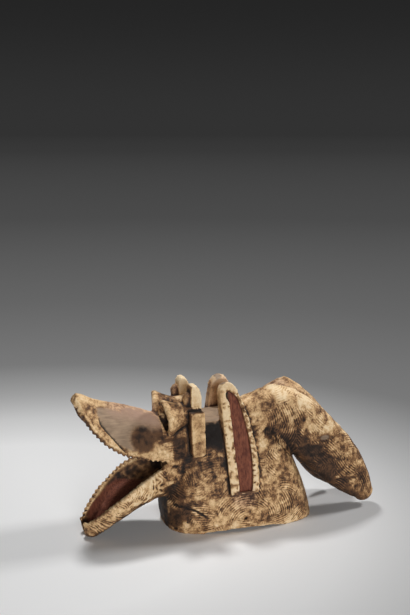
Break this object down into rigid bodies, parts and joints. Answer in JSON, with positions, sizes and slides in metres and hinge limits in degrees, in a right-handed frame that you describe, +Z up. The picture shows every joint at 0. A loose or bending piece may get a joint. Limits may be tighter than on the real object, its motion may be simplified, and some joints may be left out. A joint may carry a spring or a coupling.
{
  "type": "carved animal helmet mask",
  "caption": "Carved wooden helmet mask of a horned animal with wide-open toothed jaws, tubular eyes and tall ears; the hollow cap sits on a dancer's head.",
  "frame": {"origin": "on the ground under the middle of the mask's bounding box, where the rim of the cap and the chin rest", "axes": "+X runs back along the mask from the snout to the horns, +Z is up, +Y is the mask's right-hand side, the far side in the picture"},
  "size_m": [0.5646, 0.1814, 0.2649],
  "materials": {
    "carved_wood": "matte wood, soot-dark, under a worn crust of white clay; red earth in the ears and the mouth"
  },
  "bodies": {
    "root": {"mask": "carved_wood"}
  },
  "joints": []
}
